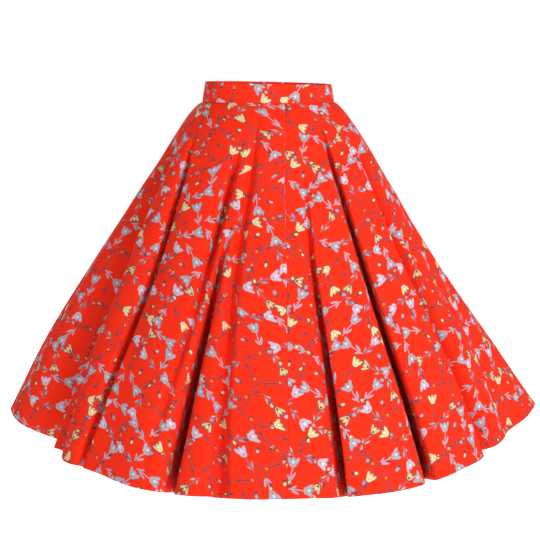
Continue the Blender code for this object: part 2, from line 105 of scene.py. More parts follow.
# each deep fold: its angle at four heights, where it sets in, depth beside the others at three heights,
# half width of its two sides at the hem, sideways lean
foldRows = [
    ((-5, -9, -11.5, -10), 0.01, (0.35, 0.25, 0.25), 0.009, 0.012, 0.00),
    ((20, 16.8, 14.2, 14.2), 0.07, (0.10, 0.75, 1.10), 0.0065, 0.0065, 0.45),
    ((37, 34.2, 33, 35), 0.01, (0.95, 1.10, 1.10), 0.0065, 0.0065, 0.65),
    ((90, 60, 55, 56), 0.04, (0.60, 0.70, 0.75), 0.008, 0.016, 0.10),
    ((94, 80, 73, 72), 0.10, (0.10, 0.10, 0.08), 0.030, 0.040, 0.00),
    ((120, 102, 98, 99), 0.05, (0.60, 0.80, 1.00), 0.013, 0.010, 0.00),
    ((134, 122, 117, 117), 0.03, (1.00, 1.05, 1.05), 0.008, 0.009, -0.10),
    ((146, 138, 134, 133), 0.12, (0.40, 0.80, 0.95), 0.010, 0.008, 0.10),
    ((160, 154, 151, 151), 0.04, (1.00, 1.10, 1.05), 0.008, 0.008, 0.18),
    ((176, 172, 170, 169), 0.20, (0.25, 0.70, 0.95), 0.010, 0.009, 0.00),
    ((207, 203, 201, 199), 0.18, (0.30, 0.85, 1.10), 0.008, 0.008, -0.16),
    ((222, 220, 219, 218), 0.05, (1.00, 1.05, 1.00), 0.008, 0.009, 0.10),
    ((236, 238, 238, 237), 0.10, (0.50, 0.70, 0.95), 0.011, 0.008, 0.12),
    ((250, 256, 257, 257), 0.04, (0.90, 0.90, 0.90), 0.009, 0.011, 0.00),
    ((262, 289, 296, 296), 0.03, (0.50, 0.75, 1.00), 0.050, 0.014, 0.10),
    ((303, 312.5, 317.8, 315.5), 0.05, (1.10, 0.60, 0.15), 0.006, 0.007, -0.35),
    ((346, 341.8, 338.5, 333), 0.05, (0.85, 0.20, 0.00), 0.006, 0.009, -0.20),
    ((351, 347, 343.2, 339.8), 0.21, (0.05, 1.00, 1.15), 0.0065, 0.0065, -0.22),
]
foldDepthsAt = (0.25, 0.6, 1.0)
anglesAt = (0.0, 0.2, 0.5, 1.0)

# soft creases laid between the deep folds: angle at the waist and hem, where they start and end
# below the waist, depth in millimetres (less than nothing is a ridge), width in millimetres on each side
softCreases = [
    (-14, -19, 0.06, 0.66, 3.4, 16, 24),
    (-6, -11.5, 0.015, 0.69, 4.0, 15, 4.2),
    (2, -3, 0.10, 0.69, -1.8, 18, 22),
    (9, 8.6, 0.05, 0.69, 2.6, 20, 14),
    (13, 10.5, 0.02, 0.26, 1.4, 7, 9),
    (26, 20, 0.22, 0.69, 2.2, 13, 19),
    (30, 26.5, 0.01, 0.40, 1.6, 10, 12),
    (45, 42, 0.08, 0.60, 2.8, 16, 20),
    (52, 47, 0.03, 0.33, 1.9, 8, 12),
    (62, 51, 0.30, 0.69, -2.4, 17, 15),
    (84, 78, 0.05, 0.45, 2.2, 12, 17),
    (97, 84, 0.20, 0.69, 3.0, 22, 18),
    (108, 91, 0.02, 0.52, 1.7, 10, 14),
    (127, 106, 0.12, 0.69, 2.7, 18, 20),
    (130, 111, 0.01, 0.24, 1.5, 8, 8),
    (140, 125, 0.05, 0.55, 2.4, 14, 16),
    (153, 142, 0.02, 0.69, 2.9, 16, 19),
    (165, 158, 0.10, 0.48, 1.8, 11, 13),
    (182, 176, 0.04, 0.69, 2.6, 19, 15),
    (197, 191, 0.02, 0.36, 1.6, 9, 12),
    (205, 194, 0.26, 0.69, -2.0, 15, 15),
    (214, 208, 0.03, 0.62, 2.8, 17, 20),
    (229, 227, 0.14, 0.69, 2.3, 13, 18),
    (243, 247, 0.02, 0.42, 1.9, 10, 13),
    (254, 265, 0.05, 0.69, 3.2, 20, 24),
    (259, 279, 0.08, 0.58, 2.6, 18, 16),
    (266, 286, 0.02, 0.30, 1.8, 10, 10),
    (283, 303, 0.05, 0.52, 2.2, 14, 18),
    (284, 305, 0.06, 0.69, 11, 48, 20),
    (293, 304, 0.28, 0.69, 15, 30, 14),
    (296, 312, 0.28, 0.69, -2.1, 16, 14),
    (312, 323, 0.10, 0.69, 2.6, 18, 22),
    (322, 327, 0.01, 0.30, 1.7, 9, 12),
    (334, 331, 0.16, 0.56, 1.8, 12, 12),
]

seamRows = {
    "front": (14, 8.2, 5.9, 3.6),
    "leftSide": (104, 93, 87, 86),
    "back": (190, 188, 186, 184),
    "rightSide": (257, 270, 273, 274),
}
panelNodes = ["panel_front_left", "panel_back_left", "panel_back_right", "panel_front_right"]


def smoothThrough(x, places, values):  # a curve through a table that never swings past its values
    places, values = np.asarray(places, float), np.asarray(values, float)
    gaps = np.diff(places)
    slopes = np.diff(values) / gaps
    before, after = slopes[:-1], slopes[1:]
    total = np.where(before * after > 0, before + after, 1)
    inner = np.where(before * after > 0, 2 * before * after / total, 0)
    tangents = np.concatenate([[slopes[0]], inner, [slopes[-1]]])
    i = np.clip(np.searchsorted(places, x) - 1, 0, len(gaps) - 1)
    t = (x - places[i]) / gaps[i]
    rise = t * t * (3 - 2 * t)
    bend = t * (1 - t) ** 2 * tangents[i] - t * t * (1 - t) * tangents[i + 1]
    return values[i] * (1 - rise) + values[i + 1] * rise + gaps[i] * bend


def smoothStep(x):
    x = np.clip(x, 0, 1)
    return x * x * (3 - 2 * x)


def halving(x):
    return np.exp(-math.log(2) * x)


def widening(share):  # of a fold's sides, from the waist to the hem
    return skirt["foldWidthAtWaist"] + (1 - skirt["foldWidthAtWaist"]) * share


def waistDip(belowSeam):  # how far the cloth dips in towards the waist seam
    return skirt["waistGroove"] * halving((belowSeam / skirt["waistGrooveReach"]) ** 2)


def angleAt(degreesDown, share):
    return math.radians(float(smoothThrough(share, anglesAt, degreesDown)))


def outlineSize(below):
    places, wide, deep = zip(*outlineRows)
    return float(smoothThrough(below, places, wide)), float(smoothThrough(below, places, deep))


def allRound(angles, values):
    places = [row[0] for row in reachRows]
    places = [places[-1] - 360, *places, 360 + places[0], 360 + places[1]]
    return smoothThrough(np.degrees(angles) % 360, places, [values[-1], *values, values[0], values[1]])


def crestOutline(below, angles):
    share = below / skirt["length"]
    atMid, atHem = 4 * share * (1 - share), share * (2 * share - 1)
    reach = 1 + allRound(angles, [atMid * (row[1] - 1) + atHem * (row[2] - 1) for row in reachRows])
    wide, deep = outlineSize(below)
    return np.stack([wide * reach * np.sin(angles), -deep * reach * np.cos(angles)], axis=-1)


def walkRound(points):
    return np.concatenate([[0], np.cumsum(np.linalg.norm(np.diff(points, axis=0), axis=1))])


def unit(vectors):
    return vectors / np.linalg.norm(vectors, axis=-1, keepdims=True)


def pointsAt(line, walked, places):
    return np.stack([np.interp(places, walked, line[:, k]) for k in range(3)], axis=-1)


roundAngles = np.linspace(0, fullTurn, skirt["around"] + 1)


def placeAt(angle, walked):  # how far round a section the place at an angle is
    return np.interp(angle % fullTurn, roundAngles, walked)


def awayFrom(angle, walked):  # distance round a section from there, less than nothing before it
    half = walked[-1] / 2
    return (walked - placeAt(angle, walked) + half) % walked[-1] - half


def crestDrops():
    # how far the crests have fallen at each step down the cloth
    steps = skirt["dropSteps"]
    rings = np.array([crestOutline(s, roundAngles) for s in np.linspace(0, skirt["length"], steps + 1)])
    run = np.linalg.norm(np.diff(rings, axis=0), axis=2)
    fall = np.sqrt(np.maximum((skirt["length"] / steps) ** 2 - run**2, 0))
    return np.concatenate([np.zeros((1, len(roundAngles))), np.cumsum(fall, axis=0)])


drops = crestDrops()
cutRadius = walkRound(crestOutline(0, roundAngles))[-1] / fullTurn  # of the circle cut out for the waist


def creaseOffsets(below, walked):
    # soft creases and the small ripples that bias cloth makes under a waist seam
    share = below / skirt["length"]
    offset = np.zeros(len(walked))
    fadeIn, fadeOut = skirt["creaseFades"]
    for top, hem, start, end, depth, before, after in softCreases:
        if below <= start:
            continue
        fade = smoothStep((below - start) / fadeIn)
        if end < skirt["length"] - 0.02:  # the others run on over the hem
            fade = fade * smoothStep((end - below) / fadeOut)
        away = awayFrom(math.radians(top + (hem - top) * share**0.5), walked)
        side = np.where(away < 0, before, after) * 0.001 * widening(share)
        offset += 0.001 * depth * fade * halving((away / side) ** 2)
    full, gone, over = skirt["rippleRows"]
    ripple = smoothStep(below / full) * smoothStep((gone - below) / over)
    wave = np.sin(31 * roundAngles + 2.1 * np.sin(3 * roundAngles))
    wave += 0.7 * np.sin(47 * roundAngles + 1.3 + 1.7 * np.sin(5 * roundAngles))
    return offset + skirt["ripple"] * ripple * wave


sectionCache = {}


def section(below):
    # one closed section of the outer face, and the distance walked round the crests' outline to each point
    key = round(below, 6)
    if key in sectionCache:
        return sectionCache[key]
    share = below / skirt["length"]
    crest = crestOutline(below, roundAngles)
    ahead = np.roll(crest[:-1], -1, axis=0) - np.roll(crest[:-1], 1, axis=0)
    tangent = unit(np.concatenate([ahead, ahead[:1]]))
    outward = np.stack([tangent[:, 1], -tangent[:, 0]], axis=-1)
    walked = walkRound(crest)
    depth, lean = np.zeros(len(crest)), np.zeros(len(crest))
    for degreesDown, start, sizes, before, after, sideways in foldRows:
        size = np.interp(share, foldDepthsAt, sizes) * smoothStep((below - start) / skirt["foldRamp"])
        away = awayFrom(angleAt(degreesDown, share), walked)
        side = np.where(away < 0, before, after) * widening(share)
        dip = halving((away / side / skirt["shoulderWidth"]) ** 2)
        steep = halving(np.abs(away / side) ** skirt["troughPower"])
        trough = size * ((1 - skirt["shoulder"]) * steep + skirt["shoulder"] * dip)
        depth += trough
        lean += trough * sideways

    def folded(scale, extra=0.0):
        return crest - outward * (scale * depth + extra)[:, None] + tangent * (scale * lean)[:, None]

    # as deep as takes up all the cloth that a flat circle has at this distance
    shallow, deepest = 0.0, skirt["steepestFold"] * below
    for _ in range(22):
        scale = (shallow + deepest) / 2
        if walkRound(folded(scale))[-1] < fullTurn * (cutRadius + below):
            shallow = scale
        else:
            deepest = scale
    step = min(share * skirt["dropSteps"], skirt["dropSteps"] - 1e-9)
    done = int(step)
    drop = drops[done] + (step - done) * (drops[done + 1] - drops[done])
    stretch = allRound(roundAngles, [row[3] for row in reachRows]) * share**2
    height = -drop - stretch - skirt["troughDrop"] * scale * depth
    ring = np.column_stack([folded(scale, creaseOffsets(below, walked)), height])
    sectionCache[key] = (ring, walked)
    return sectionCache[key]


def stationList():
    # seams and folds in order round the hem from the front: angles, half widths of both sides, seam's name
    stations = [(row, 0, 0, name) for name, row in seamRows.items()]
    stations += [(row[0], row[3], row[4], None) for row in foldRows]
    first = seamRows["front"][3]
    return sorted(stations, key=lambda station: (station[0][3] - first) % 360)


# columns of points beside a fold, in half widths of its side, and beside a seam, in metres
foldSteps = np.concatenate([np.arange(0.10, 1.19, 0.12), [1.32, 1.48, 1.68, 1.95, 2.3, 2.8, 3.4]])
seamSteps = np.array([0.0011, 0.0034])


def stretchesAt(below, stations, walked):
    # from each station to the next: where it starts and ends, and the steps beside its two ends
    share = below / skirt["length"]
    at = [placeAt(angleAt(station[0], share), walked) for station in stations]
    at = np.unwrap([*at, at[0]], period=walked[-1])
    at[-1] = at[0] + walked[-1]
    stretches = []
    for i, (start, end) in enumerate(zip(at, at[1:])):
        sides = (stations[i][2], stations[(i + 1) % len(stations)][1])
        steps = [foldSteps * side * widening(share) if side else seamSteps for side in sides]
        out, into = [step * min(1, 0.4 * (end - start) / step[-1]) for step in steps]
        stretches.append((start, end, out, into))
    return stretches


def lobeCounts(stations):
    stretches = stretchesAt(skirt["length"], stations, section(skirt["length"])[1])
    plain = [end - start - out[-1] - into[-1] for start, end, out, into in stretches]
    return [max(2, round(length / skirt["lobeStep"])) for length in plain]


def columnPlaces(below, stations, lobes, walked):
    places = []
    for (start, end, out, into), lobe in zip(stretchesAt(below, stations, walked), lobes):
        between = np.linspace(start + out[-1], end - into[-1], lobe + 1)[1:-1]
        places += [[start], start + out, between, end - into[::-1]]
    return np.concatenate(places)


def wayOut(grid):
    # the way out of a surface at each of its points, and the way along its section
    after = unit(np.roll(grid, -1, axis=1) - grid)
    around = unit(after + np.roll(after, 1, axis=1))
    return unit(np.cross(np.gradient(grid, axis=0), around)), around


def makeSurface():
    # the outer face as rows of points, with each one's distance along the cloth and the columns of the seams
    first, last, count = skirt["rowsBetween"]
    between = np.linspace(first, skirt["length"] - last, count)
    aboveHem = skirt["length"] - np.array(skirt["rowsAboveHem"])
    rowsDown = np.concatenate([skirt["rowsBelowWaist"], between, aboveHem])
    stations = stationList()
    lobes = lobeCounts(stations)
    grid, flat = [], []
    seamColumns, column = {}, 0
    beside = [len(seamSteps if station[3] else foldSteps) for station in stations]
    for i, station in enumerate(stations):
        if station[3]:
            seamColumns[station[3]] = column
        column += beside[i] + lobes[i] + beside[(i + 1) % len(stations)]
    for below in rowsDown:
        ring, walked = section(below)
        places = columnPlaces(below, stations, lobes, walked)
        grid.append(pointsAt(ring, walked, places % walked[-1]))
        along = walkRound(ring[:, :2])
        flat.append(np.interp(places % walked[-1], walked, along) + (places >= walked[-1]) * along[-1])
    return rowsDown, np.array(grid), np.array(flat), seamColumns


rowsDown, surface, alongCloth, seamColumns = makeSurface()
surfaceOut, surfaceAround = wayOut(surface)
columnCount = surface.shape[1]
clothRadius = cutRadius + rowsDown  # of each row on the flat cloth
hemLine = int(np.argmin(np.abs(rowsDown - (skirt["length"] - skirt["hemStitchUp"]))))
print("skirt surface:", len(rowsDown), "rows,", columnCount, "columns")


# ---- node helpers
def newTree(name, inputs, outputs):
    tree = bpy.data.node_groups.new(name, "ShaderNodeTree")
    for label, kind, value in inputs:
        socket = tree.interface.new_socket(label, in_out="INPUT", socket_type="NodeSocket" + kind)
        if value is not None:
            socket.default_value = value
    for label, kind in outputs:
        tree.interface.new_socket(label, in_out="OUTPUT", socket_type="NodeSocket" + kind)
    given, result = tree.nodes.new("NodeGroupInput"), tree.nodes.new("NodeGroupOutput")
    return tree, given.outputs, result.inputs


def feed(sockets, values):
    # each value is another node's socket, a number, a vector or a colour of three numbers
    for label, value in values.items():
        socket = sockets[label]
        if isinstance(value, bpy.types.NodeSocket):
            socket.id_data.links.new(value, socket)
        else:
            socket.default_value = (*value, 1) if socket.type == "RGBA" else value


def addNode(kind, inputs, tree=None, **settings):
    # a new node beside the ones that feed it
    sockets = [value for value in inputs.values() if isinstance(value, bpy.types.NodeSocket)]
    node = (tree or sockets[0].id_data).nodes.new("ShaderNode" + kind)
    for label, value in settings.items():
        setattr(node, label, value)
    feed(node.inputs, inputs)
    return node


def addGroup(group, inputs):
    return addNode("Group", inputs, node_tree=group).outputs


def maths(operation, *values):
    return addNode("Math", dict(enumerate(values)), operation=operation).outputs[0]


def vectorMaths(operation, *values):
    node = addNode("VectorMath", dict(enumerate(values)), operation=operation)
    return node.outputs["Value" if operation == "LENGTH" else "Vector"]


def scaled(vector, scale):
    return addNode("VectorMath", {"Vector": vector, "Scale": scale}, operation="SCALE").outputs["Vector"]


def apart(vector):
    return addNode("SeparateXYZ", {0: vector}).outputs


def joined(*values):
    return addNode("CombineXYZ", dict(enumerate(values))).outputs[0]


def turned(vector, angle):
    return addNode("VectorRotate", {"Vector": vector, "Angle": angle}, rotation_type="Z_AXIS").outputs[0]


def dice(vector):  # three numbers that are the same wherever the vector is
    colour = addNode("TexWhiteNoise", {"Vector": vector}).outputs["Color"]
    return addNode("SeparateColor", {0: colour}).outputs


def noise(position, scale, detail=2.0, roughness=0.5):
    inputs = {"Vector": position, "Scale": scale, "Detail": detail, "Roughness": roughness}
    return addNode("TexNoise", inputs).outputs["Fac"]


def mixColour(factor, a, b, blend="MIX"):
    inputs = {"Factor": factor, "A": a, "B": b}
    return addNode("Mix", inputs, data_type="RGBA", blend_type=blend).outputs["Result"]


def layered(colour, *layers):  # each layer covers what lies inside its shape's edge
    for shape, edge, over in layers:
        colour = mixColour(maths("LESS_THAN", shape, edge), colour, over)
    return colour


def stepped(factor, places, colours):
    node = addNode("ValToRGB", {0: factor})
    node.color_ramp.interpolation = "CONSTANT"
    stops = node.color_ramp.elements
    while len(stops) < len(places):
        stops.new(1)
    for stop, place, colour in zip(stops, places, colours):
        stop.position, stop.color = place, (*colour, 1)
    return node.outputs["Color"]


def oval(position, middle, halfSize, degrees=0):  # 0 at its middle, 1 on its edge
    turn = (0, 0, math.radians(degrees))
    inputs = {"Vector": position, "Location": (*middle, 0), "Rotation": turn, "Scale": (*halfSize, 1)}
    return vectorMaths("LENGTH", addNode("Mapping", inputs, vector_type="TEXTURE").outputs[0])


def bar(x, y, halfWidth, middle, halfLength):  # likewise, for a straight-ended strip
    side = maths("DIVIDE", maths("ABSOLUTE", x), halfWidth)
    return maths("MAXIMUM", side, maths("DIVIDE", maths("ABSOLUTE", maths("ADD", y, -middle)), halfLength))


def nearest(shape, *others):
    for other in others:
        shape = maths("MINIMUM", shape, other)
    return shape


# ---- the print: tossed tulips on a square lattice, drawn in millimetres
printSizes = {
    "spacing": 0.052,
    "scale": 0.89,  # of the motifs as drawn
    "turnOfCloth": 24.0,  # how far the lattice is turned on the cloth
    "jitter": 0.0035,
    "tilt": 46.0,  # spread of the motifs' turns
    "halo": 1.16,  # the ground kept clear round a tulip, against its own size
    "budJitter": 0.006,
    "budShare": 0.5,  # of the places for buds that have one
}

printColours = {
    "cloth": (0.900, 0.0290, 0.0090),
    "silver": (0.350, 0.370, 0.455),
    "silverPale": (0.600, 0.620, 0.700),
    "lavender": (0.500, 0.455, 0.600),
    "lavenderPale": (0.680, 0.650, 0.760),
    "cream": (0.760, 0.590, 0.300),
    "creamPale": (0.800, 0.680, 0.420),
    "beige": (0.700, 0.440, 0.225),
    "slate": (0.070, 0.060, 0.075),
    "steel": (0.150, 0.160, 0.205),
    "gold": (0.760, 0.300, 0.040),
    "pink": (0.760, 0.330, 0.280),
}

cellInputs = [
    ("Position", "Vector", None),
    ("Spacing", "Float", 0.05),
    ("Seed", "Float", 0.0),
    ("Base Turn", "Float", 0.0),
    ("Turn Spread", "Float", 1.0),
    ("Jitter", "Float", 0.0),
]


def makeScatter():
    # splits flat cloth into square cells and gives each one its own turned, shifted place
    outputs = [("Local", "Vector"), ("Pick", "Float"), ("Chance", "Float")]
    tree, given, result = newTree("scatteredCells", cellInputs, outputs)
    cells = scaled(given["Position"], maths("DIVIDE", 1.0, given["Spacing"]))
    corner = vectorMaths("FLOOR", cells)
    inside = vectorMaths("SUBTRACT", vectorMaths("SUBTRACT", cells, corner), (0.5, 0.5, 0.0))
    column, row, _ = apart(corner)
    key = joined(column, row, given["Seed"])
    first, second = dice(key), dice(vectorMaths("ADD", key, (17.0, 5.0, 31.0)))
    shift = joined(*[maths("MULTIPLY", maths("SUBTRACT", second[k], 0.5), given["Jitter"]) for k in (0, 1)])
    local = vectorMaths("SUBTRACT", scaled(inside, given["Spacing"]), shift)
    flip = maths("MULTIPLY", maths("GREATER_THAN", first[1], 0.5), math.pi)
    tilt = maths("MULTIPLY", maths("SUBTRACT", first[0], 0.5), given["Turn Spread"])
    turn = maths("ADD", maths("ADD", tilt, flip), given["Base Turn"])
    feed(result, {"Local": turned(local, turn), "Pick": first[2], "Chance": second[2]})
    return tree


def startMotif(name, outputs, scatter, scale, places):
    # a lattice of cells, the place in each cell in millimetres, and a choice between colourings
    tree, given, result = newTree(name, cellInputs, [("Color", "Color"), ("Mask", "Float"), *outputs])
    cells = addGroup(scatter, {socket.name: socket for socket in given[:-1]})

    def byKind(*names):
        return stepped(cells["Pick"], places, [printColours.get(name, name) for name in names])

    return tree, result, cells, scaled(cells["Local"], 1000.0 / scale), byKind


def makeTulips(scatter):
    # one lattice of tulips on their stems, in five colourings
    places = (0.0, 0.30, 0.46, 0.59, 0.75)
    motif = startMotif("tossedTulips", [("Halo", "Float")], scatter, printSizes["scale"], places)
    tree, result, _, spot, byKind = motif
    x, y, _ = apart(spot)
    petals = oval(joined(maths("ABSOLUTE", x), y), (5.6, 14.6), (3.7, 9.6), -33)
    middle = oval(spot, (0, 14.2), (4.6, 8.8))
    bloom = nearest(petals, middle, oval(spot, (0, 10.0), (7.4, 6.0)))
    bend = maths("MULTIPLY", maths("POWER", maths("ADD", y, 24.0), 2.0), 0.0042)
    stem = bar(maths("SUBTRACT", maths("ADD", x, 2.6), bend), y, 0.9, -9.0, 14.5)
    leaves = nearest(oval(spot, (3.0, -11.0), (2.1, 7.6), -27), oval(spot, (-5.4, -14.0), (1.7, 6.0), 30))
    dot = oval(spot, (0, 9.2), (2.3, 2.3))
    rim = byKind(*[(level,) * 3 for level in (0.90, 0.88, 0.82, 0.72, 0.78)])
    line = byKind("steel", "silver", "slate", "slate", "slate")
    colour = layered(
        byKind("silver", "steel", "slate", "steel", "slate"),
        (leaves, 0.62, byKind("silver", "silver", "cloth", "beige", "cloth")),
        (bloom, 1.0, line),
        (bloom, rim, byKind("silver", "lavender", "cream", "beige", "cloth")),
        (middle, 0.60, line),
        (middle, 0.50, byKind("silverPale", "lavenderPale", "creamPale", "cream", "cloth")),
        (dot, 1.0, byKind("gold", "gold", "cream", "slate", "gold")),
        (dot, 0.42, printColours["cloth"]),
    )
    whole = nearest(bloom, stem, leaves)
    mask, halo = maths("LESS_THAN", whole, 1.0), maths("LESS_THAN", whole, printSizes["halo"])
    feed(result, {"Color": colour, "Mask": mask, "Halo": halo})
    return tree


def makeBuds(scatter):
    # small outlined buds for the gaps between the tulips
    tree, result, cells, spot, byKind = startMotif("tossedBuds", [], scatter, 1.0, (0.0, 0.28, 0.52, 0.74))
    body = oval(spot, (0, 1.6), (3.3, 4.8))
    leaf = oval(spot, (2.6, -4.2), (1.3, 4.2), -40)
    x, y, _ = apart(spot)
    whole = nearest(body, bar(x, y, 0.55, -5.0, 4.6), leaf)
    colour = layered(
        printColours["slate"],
        (body, 1.0, byKind("slate", "slate", "steel", "slate")),
        (body, 0.72, byKind("cream", "pink", "silver", "cloth")),
    )
    shown = maths("LESS_THAN", cells["Chance"], printSizes["budShare"])
    feed(result, {"Color": colour, "Mask": maths("MULTIPLY", maths("LESS_THAN", whole, 1.0), shown)})
    return tree


def makePrint():
    # two lattices of tulips, one in the gaps of the other, and buds where both leave room
    scatter = makeScatter()
    tulips, buds = makeTulips(scatter), makeBuds(scatter)
    tree, given, result = newTree("tulipPrint", [("Flat Cloth", "Vector", None)], [("Color", "Color")])
    position = turned(given[0], math.radians(printSizes["turnOfCloth"]))
    spacing, spread = printSizes["spacing"], math.radians(printSizes["tilt"])

    def layer(motifs, offset, *values):
        place = vectorMaths("ADD", position, (offset * spacing, offset * spacing, 0.0))
        return addGroup(motifs, dict(zip([row[0] for row in cellInputs], [place, *values])))

    over = layer(tulips, 0, spacing, 3.0, 0.0, spread, printSizes["jitter"])
    under = layer(tulips, 0.5, spacing, 11.0, math.pi / 2, spread, printSizes["jitter"])
    small = layer(buds, 0.25, spacing / 2, 23.0, 0.0, fullTurn, printSizes["budJitter"])
    free = maths("SUBTRACT", 1.0, maths("MAXIMUM", over["Halo"], under["Halo"]))
    smallMask = maths("MULTIPLY", small["Mask"], free)
    underMask = maths("MULTIPLY", under["Mask"], maths("SUBTRACT", 1.0, over["Halo"]))
    colour = printColours["cloth"]
    for mask, motifs in ((smallMask, small), (underMask, under), (over["Mask"], over)):
        colour = mixColour(mask, colour, motifs["Color"])
    feed(result, {"Color": colour})
    return tree


def makeWeave():
    # fine over-and-under threads, in metres on the flat cloth
    inputs = [("Flat Cloth", "Vector", None), ("Threads", "Float", 2400.0)]
    tree, given, result = newTree("plainWeave", inputs, [("Height", "Float"), ("Slub", "Float")])
    across, along, _ = apart(scaled(given[0], maths("MULTIPLY", given[1], math.pi)))
    crossing = maths("MULTIPLY", maths("SINE", across), maths("SINE", along))
    drawn = addNode("Mapping", {"Vector": given[0], "Scale": (1, 0.09, 1)}).outputs[0]
    feed(result, {"Height": maths("MULTIPLY_ADD", crossing, 0.5, 0.5), "Slub": noise(drawn, 900.0)})
    return tree


printGroup = makePrint()
weaveGroup = makeWeave()

cottonLook = {
    "roughness": 0.77,  # the least
    "roughSpread": 0.10,
    "shader": {
        "Specular IOR Level": 0.05,
        "Sheen Weight": 0.02,
        "Sheen Roughness": 0.5,
        "Sheen Tint": (1.0, 0.55, 0.45),
    },
    "crumple": 0.0011,  # height of the soft unevenness, in metres
    "crumpleScale": 19.0,
    "weaveHeight": 0.00006,
    "bump": 0.55,
    "clothSpread": 0.05,  # how much the dye varies
    "clothScale": 26.0,
    "threadSpread": 0.10,
    "backColour": (0.72, 0.060, 0.030),
    "showsThrough": 0.24,  # how much of the print is seen from the wrong side
}


def newMaterial(name):
    made = bpy.data.materials.new(name)
    made.use_nodes = True
    return made, made.node_tree, made.node_tree.nodes["Principled BSDF"]


def varied(value, spread):
    return maths("MULTIPLY_ADD", maths("SUBTRACT", value, 0.5), spread, 1.0)


def addBump(shader, height, distance, strength=1.0):
    inputs = {"Height": height, "Distance": distance, "Strength": strength}
    feed(shader.inputs, {"Normal": addNode("Bump", inputs).outputs[0]})


def cottonMaterial(name, isBack=False):
    look = cottonLook
    made, tree, shader = newMaterial(name)
    flat = addNode("UVMap", {}, tree, uv_map="flatCloth").outputs[0]
    colour = addGroup(printGroup, {"Flat Cloth": flat})["Color"]
    weave = addGroup(weaveGroup, {"Flat Cloth": flat})
    if isBack:
        colour = mixColour(look["showsThrough"], look["backColour"], colour)
    shade = varied(noise(flat, look["clothScale"], 3.0), look["clothSpread"])
    shade = maths("MULTIPLY", shade, varied(weave["Slub"], look["threadSpread"]))
    level = addNode("CombineColor", {k: shade for k in range(3)}).outputs[0]
    rough = maths("MULTIPLY_ADD", weave["Slub"], look["roughSpread"], look["roughness"])
    colour = mixColour(1.0, colour, level, blend="MULTIPLY")
    feed(shader.inputs, {"Base Color": colour, "Roughness": rough, **look["shader"]})
    height = maths("MULTIPLY", noise(flat, look["crumpleScale"], 2.5, 0.45), look["crumple"])
    height = maths("MULTIPLY_ADD", weave["Height"], look["weaveHeight"], height)
    addBump(shader, height, 1.0, look["bump"])
    return made


threadLook = {"dark": 0.72, "roughness": 0.6, "sheen": 0.15, "bump": 0.0001}
metalLook = {"scale": 900.0, "dark": 0.86, "roughSpread": 0.18, "bump": 0.00002}


def threadMaterial(name, colour, scale=1600.0):
    made, tree, shader = newMaterial(name)
    twist = noise(addNode("TexCoord", {}, tree).outputs["Object"], scale)
    tint = mixColour(twist, [threadLook["dark"] * v for v in colour], colour)
    inputs = {"Base Color": tint, "Roughness": threadLook["roughness"], "Sheen Weight": threadLook["sheen"]}
    feed(shader.inputs, inputs)
    addBump(shader, twist, threadLook["bump"])
    return made


def metalMaterial(name, colour, roughness):
    made, tree, shader = newMaterial(name)
    wear = noise(addNode("TexCoord", {}, tree).outputs["Object"], metalLook["scale"], 4.0, 0.6)
    rough = maths("MULTIPLY_ADD", wear, metalLook["roughSpread"], roughness)
    tint = mixColour(wear, [metalLook["dark"] * v for v in colour], colour)
    feed(shader.inputs, {"Base Color": tint, "Roughness": rough, "Metallic": 1.0})
    addBump(shader, wear, metalLook["bump"])
    return made


rightSide = cottonMaterial("printedCotton")
wrongSide = cottonMaterial("printedCottonBack", isBack=True)
redThread = threadMaterial("redThread", (0.80, 0.026, 0.009))
redTape = threadMaterial("redZipTape", (0.50, 0.014, 0.008), 2600.0)
redCoil = threadMaterial("redZipCoil", (0.60, 0.018, 0.010), 3200.0)
zipMetal = metalMaterial("zipMetal", (0.72, 0.70, 0.68), 0.24)
print("materials made")


# ---- meshes
def addObject(name, data):
    thing = bpy.data.objects.new(name, data)
    bpy.context.scene.collection.objects.link(thing)
    return thing


def addPiece(name, points, faces, looks, body="skirt", flatCloth=None, sharp=50):
    mesh = bpy.data.meshes.new(name)
    mesh.from_pydata([tuple(map(float, p)) for p in points], [], faces)
    for look in looks:
        mesh.materials.append(look)
    if flatCloth is not None:
        layer = mesh.uv_layers.new(name="flatCloth")
        corners = np.zeros(len(mesh.loops), dtype=np.int32)
        mesh.loops.foreach_get("vertex_index", corners)
        layer.data.foreach_set("uv", np.asarray(flatCloth, dtype=np.float32)[corners].ravel())
    mesh.shade_smooth()
    mesh.set_sharp_from_angle(angle=math.radians(sharp))
    piece = addObject(name, mesh)
    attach(piece, body)
    return piece


def addCloth(name, grid, flat, looks, thickness, backSlot=0, turnedOver=False):
    # a thickened sheet from rows of points and their places on the flat cloth
    rows, columns = grid.shape[:2]
    corners = ((0, 0), (1, 0), (1, 1), (0, 1))
    faces = [
        tuple((r + down) * columns + c + along for down, along in (corners[::-1] if turnedOver else corners))
        for r in range(rows - 1)
        for c in range(columns - 1)
    ]
    piece = addPiece(name, grid.reshape(-1, 3), faces, looks, flatCloth=flat.reshape(-1, 2))
    wall = piece.modifiers.new("clothThickness", "SOLIDIFY")
    wall.thickness, wall.offset, wall.material_offset = thickness, 1.0 if turnedOver else -1.0, backSlot
    return piece


def recalcNormals(piece):
    shape = bmesh.new()
    shape.from_mesh(piece.data)
    bmesh.ops.recalc_face_normals(shape, faces=shape.faces)
    shape.to_mesh(piece.data)
    shape.free()


def addHard(name, points, faces, look, softness, **settings):
    # a closed piece of metal or plastic with its edges rounded off
    piece = addPiece(name, points, faces, [look], **settings)
    recalcNormals(piece)
    edge = piece.modifiers.new("softEdges", "BEVEL")
    edge.width, edge.segments = softness
    edge.limit_method, edge.angle_limit = "ANGLE", math.radians(40)
    return piece


def joinRings(first, second, count):
    return [(first + k, first + (k + 1) % count, second + (k + 1) % count, second + k) for k in range(count)]


